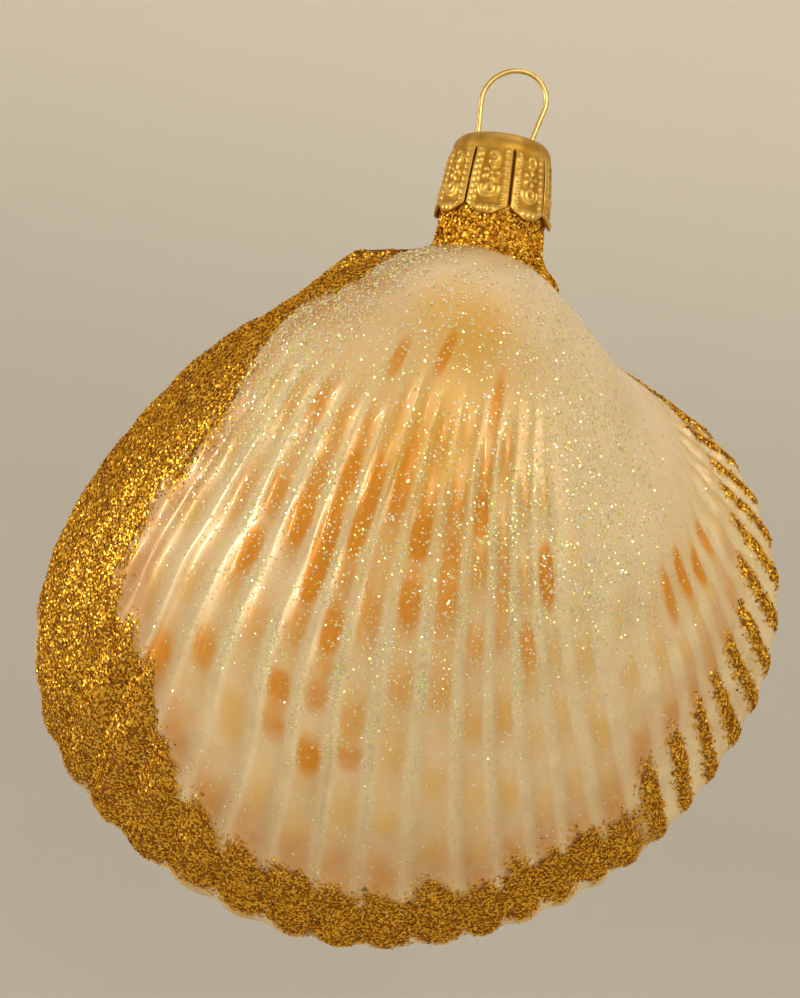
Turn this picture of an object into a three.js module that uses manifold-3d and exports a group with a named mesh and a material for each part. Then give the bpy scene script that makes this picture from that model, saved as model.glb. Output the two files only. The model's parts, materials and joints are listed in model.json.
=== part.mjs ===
// A hanging glass ornament in the shape of a closed, ribbed clam shell: one
// hollow blown-glass body with a short neck, a stamped metal cap over the neck,
// and a wire loop whose two legs pass through the cap and spring into the neck.
//
// Millimetres. +Z is up, along the neck. The two valves of the shell face -Y
// and +Y and meet in the seam plane y = 0. The origin is the inside top of the
// wire loop, where a hook or a thread bears.

import * as THREE from 'three';
import { mergeVertices } from 'three/addons/utils/BufferGeometryUtils.js';
import Module from 'manifold-3d';

const wasm = await Module();
wasm.setup();

// ---- Driving dimensions ----

// Wire loop
const WIRE_DIAMETER = 0.6;
const WIRE_STEPS = 56; // along its length
const WIRE_CURVE_SEGMENTS = 4;
const LOOP_WIDTH = 8.2; // outside, at its widest
const LOOP_WIDEST_Z = -3.4;
const LEG_SPACING = 6.2; // between leg centres, in the cap
const LEG_END_Z = -16.6;
const LEG_END_SPACING = 7.4; // the legs spread inside the neck
const LEG_BEND_SPACING = 6.5; // where the legs begin to spread
const LEG_BEND_DROP = 3; // below the top of the cap
const LOOP_QUARTER_POINTS = 6; // points that set each quarter of the loop

// Cap
const CAP_TOP_Z = -7.9;
const CAP_TOP_RADIUS = 5.7;
const CAP_SHOULDER = 0.9; // rounding of the shoulder
const CAP_SHOULDER_CUT = 0.27; // how far its middle lies inside a square corner
const CAP_SKIRT_Z = -16.5; // where the petals begin to narrow to their points
const CAP_TIP_Z = -17.6;
const CAP_SKIRT_RADIUS = 6.65;
const CAP_WALL = 0.4;
const PETALS = 8;
const SLOT_WIDTH = 0.4;
const SLOT_TOP_Z = -9.8;
const CAP_SIDES = 48;
const HOLE_SIDES = 16;
const CLEARANCE = 0.35; // between the cap, the neck and the wire

// Neck of the glass body
const NECK_WALL = 1.0;
const NECK_MOUTH_ROUNDING = 0.3;
const NECK_WAIST_RADIUS = 6.1; // between the cap and the flare
const NECK_BASE_Z = -21.6; // where the neck flares into the shell
const NECK_BASE_RADIUS = 6.8;
const NECK_ROOT_RADIUS = 8.4;
const NECK_ROOT_Z = -23.2;
const NECK_ROOT_HEIGHT = 1.0;
const NECK_BURIED_Z = -27.5; // end of the neck inside the shell
const NECK_SIDES = 32;
const BORE_SIDES = 24;

// Shell. Every growth stage of a valve is the rim, shrunk towards the beak and
// turned about the hinge axis through it, so the valve is a logarithmic coil.
const BEAK = new THREE.Vector3(5.9, 0, -24.6);
const HINGE_SLOPE = 4.3; // degrees down towards +X
const HINGE_LEAN = 16.5; // degrees out of the seam plane at +X
const COIL_RATE = 0.92; // natural logarithm of the shrink in each radian of turn
const COIL_TURN = 150; // degrees from the rim to the tip of the coil, in the neck's root
const TIGHTENING = 0.7; // extra shrink that keeps the coil low over the hinge
const TIGHTENING_TURNS = [60, 130]; // degrees between which it comes in

// The rim, from the notch beside the beak, round the belly, to the far ear.
const RIM_OUTLINE = [
  [17.3, -32.0], [30.4, -38.9], [37.8, -49.2], [39.8, -60.0], [37.2, -72.2],
  [28.0, -87.2], [12.2, -98.6], [-6.4, -102.7], [-25.0, -98.0], [-39.8, -86.7],
  [-45.4, -72.0], [-42.6, -56.0], [-32.7, -39.3], [-23.6, -31.0], [-17.2, -24.3],
];
const RIBS = 38;
const RIB_HEIGHT = 0.7; // crest above groove, at the rim
const RIB_FADE = 0.08; // share of the rim over which the ribs die out at its ends
const OUTER_STAGES = 13;

// Hollow of the shell, a smaller copy of the outside about its middle.
const HOLLOW_CENTRE = new THREE.Vector3(-2, 0, -62);
const HOLLOW_SCALE = new THREE.Vector3(0.965, 0.94, 0.96);
const HOLLOW_SIDES = 32;
const HOLLOW_STAGES = 8;
const HOLLOW_TURN = 100; // the hollow stops short of the overhanging beak

const OVERSHOOT = 1; // how far a cut reaches past the faces it opens
const WELD_DISTANCE = 1e-4; // points closer than this are one point

// ---- Finishes ----

const lacqueredGlass = () => new THREE.MeshStandardMaterial({
  name: 'pearl_lacquered_glass', color: 0xd9b074, roughness: 0.3, metalness: 0.15,
});
const goldTonedSheet = () => new THREE.MeshStandardMaterial({
  name: 'gold_sheet', color: 0xc9a04a, roughness: 0.35, metalness: 1.0,
});
const goldTonedWire = () => new THREE.MeshStandardMaterial({
  name: 'gold_wire', color: 0xd8b460, roughness: 0.25, metalness: 1.0,
});

// ---- Joining and cutting ----

// A closed geometry as a solid, with its shared vertices merged.
function solid(geometry) {
  const bare = geometry.clone();
  bare.deleteAttribute('normal');
  bare.deleteAttribute('uv');
  const merged = mergeVertices(bare, WELD_DISTANCE);
  const corners = merged.index.array;
  const kept = [];
  for (let i = 0; i < corners.length; i += 3) {
    const [a, b, c] = corners.slice(i, i + 3);
    if (a !== b && b !== c && c !== a) kept.push(a, b, c);
  }
  return new wasm.Manifold(new wasm.Mesh({
    numProp: 3,
    vertProperties: new Float32Array(merged.attributes.position.array),
    triVerts: new Uint32Array(kept),
  }));
}

function join(solids) {
  return solids.reduce((whole, piece) => whole.add(piece));
}

// The main body of a join, without the slivers of no volume left between faces
// that met exactly.
function mainBody(joined) {
  return joined.decompose().reduce((most, body) => (body.volume() > most.volume() ? body : most));
}

function meshOf(name, material, body) {
  const made = body.getMesh();
  const geometry = new THREE.BufferGeometry();
  geometry.setAttribute('position', new THREE.BufferAttribute(made.vertProperties, 3));
  geometry.setIndex(new THREE.BufferAttribute(made.triVerts, 1));
  const mesh = new THREE.Mesh(geometry, material);
  mesh.name = name;
  return mesh;
}

// A solid of revolution about Z, from its [radius, z] outline, top to bottom.
function turned(outline, sides) {
  const profile = outline.map(([radius, z]) => new THREE.Vector2(radius, z)).reverse();
  return new THREE.LatheGeometry(profile, sides).rotateX(Math.PI / 2);
}

// ---- Glass shell ----

// The rim as points in the seam plane: the beak, then the outline, on which
// crests and grooves alternate. With no ribs it is the plain outline.
function rimPoints(outline, sides, ribHeight) {
  const curve = new THREE.SplineCurve(outline.map(([x, z]) => new THREE.Vector2(x, z)));
  const points = [BEAK.clone()];
  for (let i = 0; i <= sides; i += 1) {
    const share = i / sides;
    const fade = THREE.MathUtils.smoothstep(Math.min(share, 1 - share), 0, RIB_FADE);
    const rise = (i % 2 === 0 ? -0.5 : 0.5) * ribHeight * fade;
    const place = curve.getPointAt(share);
    const along = curve.getTangentAt(share);
    points.push(new THREE.Vector3(place.x - along.y * rise, 0, place.y + along.x * rise));
  }
  return points;
}

// The rim at one stage of growth, turned away from the seam plane by an angle.
function growthStage(rim, turn) {
  const slope = THREE.MathUtils.degToRad(HINGE_SLOPE);
  const lean = THREE.MathUtils.degToRad(HINGE_LEAN);
  const hinge = new THREE.Vector3(
    Math.cos(slope) * Math.cos(lean), -Math.sin(lean), -Math.sin(slope) * Math.cos(lean),
  );
  const [from, to] = TIGHTENING_TURNS.map(THREE.MathUtils.degToRad);
  const tightened = 1 - TIGHTENING * THREE.MathUtils.smoothstep(turn, from, to);
  const shrink = Math.exp(-COIL_RATE * turn) * tightened;
  return rim.map((point) => point.clone().sub(BEAK)
    .applyAxisAngle(hinge, -turn).multiplyScalar(shrink).add(BEAK));
}

// The wedge between two stages. The mirrored one belongs to the back valve.
function wedge(stageA, stageB, faces, mirrored) {
  const count = stageA.length;
  const positions = [...stageA, ...stageB].flatMap((p) => [p.x, mirrored ? -p.y : p.y, p.z]);
  const corners = [];
  faces.forEach(([a, b, c]) => {
    corners.push(a, c, b);
    corners.push(count + a, count + b, count + c);
  });
  for (let i = 0; i < count; i += 1) {
    const next = (i + 1) % count;
    corners.push(next, i, count + i);
    corners.push(next, count + i, count + next);
  }
  if (mirrored) corners.reverse();
  const geometry = new THREE.BufferGeometry();
  geometry.setAttribute('position', new THREE.Float32BufferAttribute(positions, 3));
  geometry.setIndex(corners);
  return solid(geometry);
}

// Both valves, as a stack of wedges each side of the seam plane. place moves a
// point of the outside to where the surface wanted is.
function valves(rim, stages, coilTurn, place) {
  const flat = rim.map((point) => new THREE.Vector2(point.x, point.z));
  const faces = THREE.ShapeUtils.triangulateShape(flat, []);
  const turns = Array.from(
    { length: stages + 1 },
    (_, i) => THREE.MathUtils.degToRad(coilTurn) * (i / stages),
  );
  const grown = turns.map((turn) => growthStage(rim, turn).map(place));
  const wedges = [];
  for (let i = 0; i < stages; i += 1) {
    wedges.push(wedge(grown[i], grown[i + 1], faces, false));
    wedges.push(wedge(grown[i], grown[i + 1], faces, true));
  }
  return mainBody(join(wedges));
}

const capInsideRadius = (z) => THREE.MathUtils.mapLinear(
  z, CAP_TOP_Z, CAP_TIP_Z, CAP_TOP_RADIUS - CAP_WALL, CAP_SKIRT_RADIUS - CAP_WALL,
);
const neckRadius = (z) => capInsideRadius(z) - CLEARANCE;
const NECK_TOP_Z = CAP_TOP_Z - CAP_WALL - CLEARANCE;

function glassShell() {
  const ribbedRim = rimPoints(RIM_OUTLINE, 2 * RIBS, RIB_HEIGHT);
  const outside = valves(ribbedRim, OUTER_STAGES, COIL_TURN, (point) => point);
  const neck = solid(turned([
    [0, NECK_TOP_Z],
    [neckRadius(NECK_TOP_Z) - NECK_MOUTH_ROUNDING, NECK_TOP_Z],
    [neckRadius(CAP_TIP_Z), CAP_TIP_Z],
    [NECK_WAIST_RADIUS, (CAP_TIP_Z + NECK_BASE_Z) / 2],
    [NECK_BASE_RADIUS, NECK_BASE_Z],
    [NECK_ROOT_RADIUS, NECK_ROOT_Z],
    [NECK_ROOT_RADIUS, NECK_ROOT_Z - NECK_ROOT_HEIGHT],
    [0, NECK_BURIED_Z],
  ], NECK_SIDES));
  const towardsMiddle = (point) => point.clone().sub(HOLLOW_CENTRE)
    .multiply(HOLLOW_SCALE).add(HOLLOW_CENTRE);
  const plainRim = rimPoints(RIM_OUTLINE.slice(0, -1), HOLLOW_SIDES, 0); // the ear is solid
  const hollow = valves(plainRim, HOLLOW_STAGES, HOLLOW_TURN, towardsMiddle);
  const mouthRadius = neckRadius(NECK_TOP_Z) - NECK_MOUTH_ROUNDING - NECK_WALL;
  const boreRadius = neckRadius(CAP_TIP_Z) - NECK_WALL;
  const bore = solid(turned([
    [0, NECK_TOP_Z + OVERSHOOT],
    [mouthRadius, NECK_TOP_Z + OVERSHOOT],
    [mouthRadius, NECK_TOP_Z],
    [boreRadius, CAP_TIP_Z],
    [boreRadius, NECK_BURIED_Z],
    [0, NECK_BURIED_Z - 2 * OVERSHOOT],
  ], BORE_SIDES));
  const glass = outside.add(neck).subtract(hollow.add(bore));
  return meshOf('glass_shell', lacqueredGlass(), mainBody(glass));
}

// ---- Cap ----

// The gap between two petals, before it is turned to its place.
function petalSlot() {
  const height = SLOT_TOP_Z - CAP_TIP_Z + OVERSHOOT;
  const reach = CAP_SKIRT_RADIUS + 2 * OVERSHOOT;
  return new THREE.BoxGeometry(reach, SLOT_WIDTH, height)
    .translate(reach / 2, 0, SLOT_TOP_Z - height / 2);
}

// The triangle cut away between the points of two petals.
function petalNotch() {
  const halfPetal = (Math.PI * CAP_SKIRT_RADIUS) / PETALS;
  const shape = new THREE.Shape([
    new THREE.Vector2(-halfPetal, CAP_TIP_Z),
    new THREE.Vector2(-halfPetal, CAP_TIP_Z - OVERSHOOT),
    new THREE.Vector2(halfPetal, CAP_TIP_Z - OVERSHOOT),
    new THREE.Vector2(halfPetal, CAP_TIP_Z),
    new THREE.Vector2(0, CAP_SKIRT_Z),
  ]);
  const depth = CAP_SKIRT_RADIUS + 2 * OVERSHOOT;
  return new THREE.ExtrudeGeometry(shape, { depth, bevelEnabled: false })
    .rotateX(Math.PI / 2)
    .rotateZ(Math.PI / 2);
}

// A hole in the top of the cap for one leg of the wire.
function legHole(side) {
  const radius = WIRE_DIAMETER / 2 + CLEARANCE;
  const depth = 2 * (CAP_WALL + 2 * OVERSHOOT);
  return new THREE.CylinderGeometry(radius, radius, depth, HOLE_SIDES)
    .rotateX(Math.PI / 2)
    .translate((side * LEG_SPACING) / 2, 0, CAP_TOP_Z);
}

function cap() {
  const cup = solid(turned([
    [0, CAP_TOP_Z],
    [CAP_TOP_RADIUS - CAP_SHOULDER, CAP_TOP_Z],
    [CAP_TOP_RADIUS - CAP_SHOULDER_CUT, CAP_TOP_Z - CAP_SHOULDER_CUT],
    [CAP_TOP_RADIUS, CAP_TOP_Z - CAP_SHOULDER],
    [CAP_SKIRT_RADIUS, CAP_TIP_Z],
    [CAP_SKIRT_RADIUS - CAP_WALL, CAP_TIP_Z],
    [CAP_TOP_RADIUS - CAP_WALL, CAP_TOP_Z - CAP_SHOULDER],
    [CAP_TOP_RADIUS - CAP_SHOULDER, CAP_TOP_Z - CAP_WALL],
    [0, CAP_TOP_Z - CAP_WALL],
  ], CAP_SIDES));
  const cuts = [solid(legHole(-1)), solid(legHole(1))];
  for (let i = 0; i < PETALS; i += 1) {
    const angle = (2 * Math.PI * (i + 0.5)) / PETALS;
    cuts.push(solid(petalSlot().rotateZ(angle)));
    cuts.push(solid(petalNotch().rotateZ(angle)));
  }
  return meshOf('cap', goldTonedSheet(), cup.subtract(join(cuts)));
}

// ---- Wire hanger ----

// The middle line of the wire: up one leg, round the loop and down the other.
function wirePath() {
  const leg = [
    new THREE.Vector3(LEG_END_SPACING / 2, 0, LEG_END_Z),
    new THREE.Vector3(LEG_BEND_SPACING / 2, 0, CAP_TOP_Z - LEG_BEND_DROP),
    new THREE.Vector3(LEG_SPACING / 2, 0, CAP_TOP_Z),
  ];
  const otherLeg = leg.map((point) => new THREE.Vector3(-point.x, 0, point.z)).reverse();
  const halfWidth = (LOOP_WIDTH - WIRE_DIAMETER) / 2;
  const halfHeight = WIRE_DIAMETER / 2 - LOOP_WIDEST_Z;
  const loop = [];
  for (let i = -1; i <= 2 * LOOP_QUARTER_POINTS + 1; i += 1) {
    const angle = (Math.PI / 2) * (i / LOOP_QUARTER_POINTS);
    loop.push(new THREE.Vector3(
      halfWidth * Math.cos(angle), 0, LOOP_WIDEST_Z + halfHeight * Math.sin(angle),
    ));
  }
  return new THREE.CatmullRomCurve3([...leg, ...loop, ...otherLeg], false, 'centripetal');
}

function wireHanger() {
  const section = new THREE.Shape();
  section.absarc(0, 0, WIRE_DIAMETER / 2, 0, 2 * Math.PI, false);
  const wire = new THREE.ExtrudeGeometry(section, {
    steps: WIRE_STEPS,
    curveSegments: WIRE_CURVE_SEGMENTS,
    bevelEnabled: false,
    extrudePath: wirePath(),
  });
  return meshOf('wire_hanger', goldTonedWire(), solid(wire));
}

const ornament = new THREE.Group();
ornament.name = 'glass_shell_ornament';
ornament.add(glassShell(), cap(), wireHanger());

export default ornament;
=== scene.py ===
# %% [markdown]
# # A blown-glass clam shell for the tree
#
# The real thing is a hollow glass ornament. A glass blower blows a gob into a shell-shaped
# mould, which leaves a short neck; the inside is silvered, the outside is dipped in pearl
# lacquer, the rib crests are painted by hand, and while a band of varnish is wet it is dusted
# with gold glitter. A stamped cap goes over the neck and a sprung wire loop holds it there.
#
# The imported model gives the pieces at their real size. This script makes their looks: a fine
# surface for the glass, the paint and the glitter on it, the stamping of the cap, the wire.

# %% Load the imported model
import bmesh
import bpy
import json
import math
import numpy as np
from mathutils import Matrix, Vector
from mathutils.kdtree import KDTree

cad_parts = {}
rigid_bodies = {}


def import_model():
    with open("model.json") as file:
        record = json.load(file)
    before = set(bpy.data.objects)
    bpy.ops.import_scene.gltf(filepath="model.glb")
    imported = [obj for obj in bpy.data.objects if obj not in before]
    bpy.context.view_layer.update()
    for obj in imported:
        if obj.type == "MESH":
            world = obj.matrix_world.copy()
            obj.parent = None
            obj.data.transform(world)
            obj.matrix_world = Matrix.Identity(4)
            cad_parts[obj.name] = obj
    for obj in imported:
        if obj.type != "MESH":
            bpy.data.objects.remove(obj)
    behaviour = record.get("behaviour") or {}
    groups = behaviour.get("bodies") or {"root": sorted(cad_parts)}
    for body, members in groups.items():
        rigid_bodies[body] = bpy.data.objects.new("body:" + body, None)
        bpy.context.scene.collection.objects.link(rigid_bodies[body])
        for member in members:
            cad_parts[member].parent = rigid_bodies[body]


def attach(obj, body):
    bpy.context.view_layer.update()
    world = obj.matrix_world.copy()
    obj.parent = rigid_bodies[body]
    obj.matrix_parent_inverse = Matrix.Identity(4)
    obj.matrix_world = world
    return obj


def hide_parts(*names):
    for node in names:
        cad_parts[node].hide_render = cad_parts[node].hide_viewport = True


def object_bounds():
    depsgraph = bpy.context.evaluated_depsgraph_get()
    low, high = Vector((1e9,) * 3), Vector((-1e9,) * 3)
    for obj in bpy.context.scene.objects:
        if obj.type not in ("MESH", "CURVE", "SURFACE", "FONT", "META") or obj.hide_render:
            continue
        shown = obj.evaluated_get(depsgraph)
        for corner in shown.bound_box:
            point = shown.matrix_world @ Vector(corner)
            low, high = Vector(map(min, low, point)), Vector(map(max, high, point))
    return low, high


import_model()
cad_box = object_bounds()
MM = 0.001
chance = np.random.default_rng(7)
print("packed model, mm:", [[round(x / MM, 2) for x in corner] for corner in cad_box])

# %% [markdown]
# ## Small helpers for meshes
#
# Everything here is worked out as arrays of points in millimetres, because a formula for the
# shape is clearer than a list of modelling steps. A mesh is then filled in one go. Numbers
# that the paint needs later, such as how far up a rib a point is, are stored on the points.


# %% Fill a mesh from arrays
def new_mesh(name, points, faces):
    """A mesh from points in millimetres and faces that all have the same number of corners."""
    mesh = bpy.data.meshes.new(name)
    mesh.vertices.add(len(points))
    mesh.vertices.foreach_set("co", (points * MM).astype(np.float32).ravel())
    mesh.loops.add(faces.size)
    mesh.loops.foreach_set("vertex_index", faces.astype(np.int32).ravel())
    mesh.polygons.add(len(faces))
    starts = np.arange(0, faces.size, faces.shape[1], dtype=np.int32)
    mesh.polygons.foreach_set("loop_start", starts)
    mesh.update(calc_edges=True)
    return mesh


def store(mesh, **values):
    """Keeps one number per point under each name, for the material to read."""
    for name, numbers in values.items():
        layer = mesh.attributes.new(name, "FLOAT", "POINT")
        layer.data.foreach_set("value", np.asarray(numbers, np.float32).ravel())


def grid_faces(rows, columns, closed=False):
    """Four-cornered faces over a grid of points that is stored row by row."""
    across = columns if closed else columns - 1
    row, column = np.meshgrid(np.arange(rows - 1), np.arange(across), indexing="ij")
    beside = (column + 1) % columns
    corners = (
        row * columns + column,
        row * columns + beside,
        (row + 1) * columns + beside,
        (row + 1) * columns + column,
    )
    return np.stack(corners, -1).reshape(-1, 4)


def spun(outline, angle):
    """The points of an outline (radius, z) at each angle about the Z axis, row by row."""
    radius, z = outline[:, :1], outline[:, 1:]
    return np.stack([radius * np.cos(angle), radius * np.sin(angle), z + 0 * angle], -1)


def show(name, mesh, material, slot, *replaced):
    """Puts a mesh in the scene as a piece of the ornament."""
    mesh.materials.clear()
    mesh.materials.append(material)
    piece = bpy.data.objects.new(name, mesh)
    bpy.context.scene.collection.objects.link(piece)
    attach(piece, "root")
    if replaced:
        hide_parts(*replaced)
    triangles = sum(len(face.vertices) - 2 for face in mesh.polygons)
    print(name, "has", triangles, "triangles")
    return piece


# %% [markdown]
# ## Smooth steps, hills and wandering numbers
#
# Three soft shapes place everything below: a step, a plateau and a hill. Handwork never
# repeats, so most of them are also nudged by a smooth random number. Blender's own noise
# textures can do that in a material, but here the same number has to bend the surface, place
# the paint and place the glitter, so it is worked out once, in arrays.


# %% Steps, hills and wander
CHOICES = 64  # random numbers along each side of a table, before it repeats


def rise(value, low, high):
    """0 below low, 1 above high, and an even curve between."""
    share = np.clip((value - low) / (high - low), 0, 1)
    return share * share * (3 - 2 * share)


def plateau(value, low, top, edge, end):
    """0 below low, 1 from top to edge, 0 above end."""
    return rise(value, low, top) * (1 - rise(value, edge, end))


def hill(value, middle, width):
    """1 at the middle, falling to about a third at width from it."""
    return np.exp(-(((value - middle) / width) ** 2))


def unit(vectors):
    """The same directions, all of length 1."""
    return vectors / np.maximum(np.linalg.norm(vectors, axis=-1, keepdims=True), 1e-9)


def wander(x, y, seed):
    """A smooth random number from -1 to 1 that changes over a distance of about 1 in x and y."""
    lattice = np.random.default_rng(seed).uniform(-1, 1, (CHOICES, CHOICES))
    left = np.floor(x).astype(int)
    low = np.floor(y).astype(int)
    across = rise(x - left, 0, 1)
    up = rise(y - low, 0, 1)

    def at(dx, dy):
        return lattice[(left + dx) % CHOICES, (low + dy) % CHOICES]

    bottom = at(0, 0) * (1 - across) + at(1, 0) * across
    top = at(0, 1) * (1 - across) + at(1, 1) * across
    return bottom * (1 - up) + top * up


# %% [markdown]
# ## The rim of the shell
#
# A clam grows by adding to its rim, so the rim is the one outline that has to be drawn. It
# runs from the notch beside the beak, round the belly, to the ear on the other side. A curve
# through fifteen points is enough; it is walked in equal steps so that ribs come out evenly.

# %% Draw the rim
RIM_OUTLINE = np.array([
    [17.3, -32.0], [30.4, -38.9], [37.8, -49.2], [39.8, -60.0], [37.2, -72.2],
    [28.0, -87.2], [12.2, -98.6], [-6.4, -102.7], [-25.0, -98.0], [-39.8, -86.7],
    [-45.4, -72.0], [-42.6, -56.0], [-32.7, -39.3], [-23.6, -31.0], [-17.2, -24.3],
])
RIBS = 39
STEPS_PER_RIB = 10
FLANK_STEPS = 24
OUTLINE_STEPS = 60  # between two points of the outline, before it is walked evenly


def through(points, per_span):
    """A smooth curve through points, with the given number of steps between each two."""
    before = np.vstack([points[:1], points[:-2]])
    after = np.vstack([points[2:], points[-1:]])
    start, end = points[:-1], points[1:]
    leaving, arriving = (end - before) / 2, (after - start) / 2
    t = np.linspace(0, 1, per_span, endpoint=False)[None, :, None]
    start, end, leaving, arriving = (a[:, None, :] for a in (start, end, leaving, arriving))
    curve = (
        (2 * start - 2 * end + leaving + arriving) * t**3
        + (3 * end - 3 * start - 2 * leaving - arriving) * t**2
        + leaving * t
        + start
    )
    return np.vstack([curve.reshape(-1, points.shape[1]), points[-1:]])


def evenly(curve, count):
    """The same curve as count equal steps."""
    lengths = np.concatenate([[0], np.cumsum(np.linalg.norm(np.diff(curve, axis=0), axis=1))])
    wanted = np.linspace(0, lengths[-1], count + 1)
    return np.stack([np.interp(wanted, lengths, axis) for axis in curve.T], 1), lengths[-1]


rim, rim_length = evenly(through(RIM_OUTLINE, OUTLINE_STEPS), RIBS * STEPS_PER_RIB)
rim = np.stack([rim[:, 0], np.zeros(len(rim)), rim[:, 1]], 1)
rim_share = np.linspace(0, 1, len(rim))
print("the rim is", round(rim_length, 1), "mm long, one rib every", round(rim_length / RIBS, 2))

# %% [markdown]
# ## Growth: from the rim back to the beak
#
# Every earlier rim of a clam was the same shape, smaller, and turned about the hinge. Turning
# and shrinking together, always in the same proportion, gives the logarithmic coil that all
# such shells share. It could be sculpted by eye, but the law gives the belly, the umbo that
# curls over the hinge and the direction of every rib at once, in two numbers. A third draws
# the last of the coil in, because the mould's umbo is rounder than a living one.

# %% The growth law
BEAK = np.array([5.9, 0.0, -24.6])
HINGE_SLOPE = math.radians(4.3)  # down towards +X
HINGE_LEAN = math.radians(16.5)  # out of the seam plane
COIL_RATE = 0.92
COIL_TURN = math.radians(150)
TIGHTENING = 0.7
TIGHTENING_TURNS = np.radians([60, 130])
LIP_TURNS = [0.0, 0.0025, 0.005, 0.008]  # the first stages, which round off the lip
STAGE_LENGTH = 1.1  # mm of surface between two stages, on the longest ribs
HINGE = np.array([
    math.cos(HINGE_SLOPE) * math.cos(HINGE_LEAN),
    -math.sin(HINGE_LEAN),
    -math.sin(HINGE_SLOPE) * math.cos(HINGE_LEAN),
])


def grown(points, turn):
    """Where points of the rim were when the shell had this much turn still to grow."""
    arms = points - BEAK
    cos, sin = np.cos(turn)[..., None], -np.sin(turn)[..., None]
    along = (arms @ HINGE)[..., None] * HINGE
    turned = arms * cos + np.cross(HINGE, arms) * sin + along * (1 - cos)
    tightened = 1 - TIGHTENING * rise(turn, *TIGHTENING_TURNS)
    shrink = np.exp(-COIL_RATE * turn) * tightened
    return BEAK + turned * shrink[..., None]


def growth_turns():
    """Turns of the stages: close together at the rounded lip, then evenly along the ribs."""
    reach = np.linalg.norm(rim - BEAK, axis=1).max() * math.hypot(1, COIL_RATE)
    turns = list(LIP_TURNS)
    while turns[-1] < COIL_TURN:
        step = STAGE_LENGTH / reach / math.exp(-COIL_RATE * turns[-1])
        turns.append(turns[-1] + step)
    turns[-1] = COIL_TURN
    return np.array(turns)


turns = growth_turns()
print(len(turns), "growth stages")

# %% [markdown]
# ## The lip
#
# Two valves that simply met would make a knife edge. Glass can't: the mould's parting line
# leaves a rounded lip about 2 mm thick. So near the rim each stage gives up its inward
# movement little by little, until at the seam the surface runs straight across. The flank
# between ear and beak carries a raised plate with a knob, as the carved shell did.

# %% One valve, smooth
LIP = 1.9  # mm of surface over which the lip rounds off
LARGEST_LIP_TURN = 0.1
TINY_TURN = 1e-4
PLATE_HEIGHT = 0.6  # mm
PLATE_SPAN = (0, 0.12, 0.35, 0.75)  # along the flank, from the ear to the beak
KNOB_HEIGHT = 2.6  # mm
KNOB_PLACE = 0.085  # along the flank, as its width is
KNOB_WIDTH = 0.05
EAR_REACH = 5  # steps on each side of the ear's corner that are evened out
EAR_PASSES = 3


def loop_points():
    """The rim, closed through the beak, and each point's share of the rim."""
    part = np.linspace(0, 1, FLANK_STEPS + 1)[1:-1, None]
    into_rim = BEAK + (rim[0] - BEAK) * part
    out_of_rim = rim[-1] + (BEAK - rim[-1]) * part
    plate = PLATE_HEIGHT * plateau(part, *PLATE_SPAN)
    knob = KNOB_HEIGHT * hill(part, KNOB_PLACE, KNOB_WIDTH)
    out_of_rim = out_of_rim + (plate + knob) * [0, 0, 1]
    points = np.vstack([BEAK[None], into_rim, rim, out_of_rim, BEAK[None]])
    share = np.concatenate([np.zeros(FLANK_STEPS), rim_share, np.ones(FLANK_STEPS)])
    return points, share


loop, share_of_loop = loop_points()
ear = FLANK_STEPS + len(rim) - 1
first, last = ear - EAR_REACH, ear + EAR_REACH - 1
for _ in range(EAR_PASSES):
    loop[first:last] = (loop[first - 1 : last - 1] + loop[first + 1 : last + 1]) / 2

points_at = loop[None]
turn_at = turns[:, None] * np.ones((1, len(loop)))
smooth = grown(points_at, turn_at)
speed = (grown(points_at, np.full((1, len(loop)), TINY_TURN)) - points_at) / TINY_TURN
lip_turn = LIP / np.maximum(np.linalg.norm(speed, axis=-1), 1e-6)
lip_turn = np.clip(lip_turn, 0, LARGEST_LIP_TURN)
held_back = lip_turn / 2 * np.clip(1 - turn_at / lip_turn, 0, 1) ** 2
speed[..., 1] = 0
smooth = smooth + held_back[..., None] * speed


def surface_normals(grid):
    """Outward directions of a grid of points."""
    along_rim = np.gradient(grid, axis=1)
    along_growth = np.gradient(grid, axis=0)
    normal = unit(np.cross(along_rim, along_growth))
    middle = normal[len(grid) // 4, grid.shape[1] // 2]
    return normal * (-1 if middle[1] > 0 else 1)


normals = surface_normals(smooth)
normals[0, :, 1] = 0
normals[0] = unit(normals[0])

# %% [markdown]
# ## Ribs, knuckles and growth steps
#
# The ribs are the mould's own: broad rounded crests with narrow grooves. They lean a little
# on the side of the notch, die out on the smooth umbo, and each swells into knuckles where
# the carved shell paused in its growth. All of it is one height above the smooth valve, so
# the paint and the glitter can later ask the same functions where a crest is.

# %% Coordinates on the valve
share = share_of_loop[None] * np.ones_like(turn_at)
growth = np.exp(-COIL_RATE * turn_at)  # 1 at the rim, falling to the beak
off_rim = np.linalg.norm(smooth - smooth[:1], axis=-1)  # mm

# How far round the rim some ribs stand: they are finer near the notch and coarser near the ear.
RIB_PLACES = np.array([
    [0.0, 0.0], [0.125, 5.5], [0.195, 8.5], [0.30, 13.5], [0.406, 18.5],
    [0.46, 20.5], [0.54, 23.5], [0.60, 25.5], [0.66, 27.5], [1.0, RIBS],
])
LEAN = 0.095  # how far ribs near the notch lean, as a share of the rim
LEAN_ELSEWHERE = 0.08  # of that
RIB_WAVE = 0.11  # of the distance between two ribs
rib_curve = through(RIB_PLACES, per_span=20)
leaning = LEAN_ELSEWHERE + plateau(share, 0.05, 0.15, 0.24, 0.34)
rib = np.interp(share + LEAN * (1 - growth) * leaning, rib_curve[:, 0], rib_curve[:, 1])
rib = rib + RIB_WAVE * wander(rib / 2, growth * 9, seed=3)
breadth = 1.2 - 0.65 * rise(share, 0.22, 0.42)  # crests are narrow near the notch
crest = (0.5 - 0.5 * np.cos(2 * np.pi * rib)) ** breadth


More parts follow.
